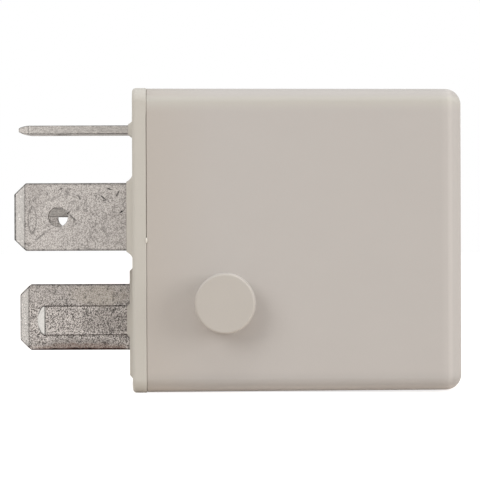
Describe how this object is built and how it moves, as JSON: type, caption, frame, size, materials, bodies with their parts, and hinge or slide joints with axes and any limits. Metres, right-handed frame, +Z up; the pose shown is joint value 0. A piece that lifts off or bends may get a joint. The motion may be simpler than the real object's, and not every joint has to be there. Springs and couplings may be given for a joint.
{
  "type": "plug-in relay",
  "caption": "Cube-shaped plug-in changeover relay with flat blades in a square moulded housing, a keying stud on one side and a hinged armature inside.",
  "frame": {"origin": "centre of the seating plane, the underside of the base flange", "axes": "+X from the blades to the closed end of the cover; -Y is the side with the stud; +Z is up with the relay lying on its side, towards terminal 87"},
  "size_m": [0.0413, 0.0301, 0.028],
  "materials": {
    "cover": "moulded, fine satin grain",
    "base": "moulded, fine satin grain",
    "tinned_brass": "matt tin plate over brass sheet",
    "iron": "zinc-plated soft iron",
    "bobbin": "glass-filled nylon",
    "winding": "enamelled copper wire",
    "spring": "rolled bronze",
    "rivets": "plated steel",
    "contacts": "silver alloy",
    "resistor": "lacquered body",
    "leads": "tinned copper wire",
    "solder": "bright solder"
  },
  "bodies": {
    "housing": {"base": "base", "cover": "cover", "terminal_30": "tinned_brass", "terminal_85": "tinned_brass", "terminal_86": "tinned_brass", "terminal_87": "tinned_brass", "terminal_87a": "tinned_brass", "yoke": "iron", "core": "iron", "bobbin": "bobbin", "winding": "winding", "resistor_body": "resistor", "resistor_leads": "leads", "coil_lead_start": "winding", "coil_lead_finish": "winding", "solder_joints": "solder", "contact_spring": "spring", "yoke_rivets": "rivets", "fixed_contact_no": "contacts", "fixed_contact_nc": "contacts"},
    "armature_group": {"armature": "iron", "armature_rivets": "rivets", "moving_contact": "contacts"}
  },
  "joints": [
    {"name": "armature_hinge", "type": "hinge", "parent": "housing", "child": "armature_group", "pos_m": [0.0235, 0, -0.0117], "axis": [0, -1, 0], "range_deg": [0, 2.4], "stiffness_Nm_per_rad": 0.16, "springref_deg": -1.72, "deforming": ["contact_spring"]}
  ]
}
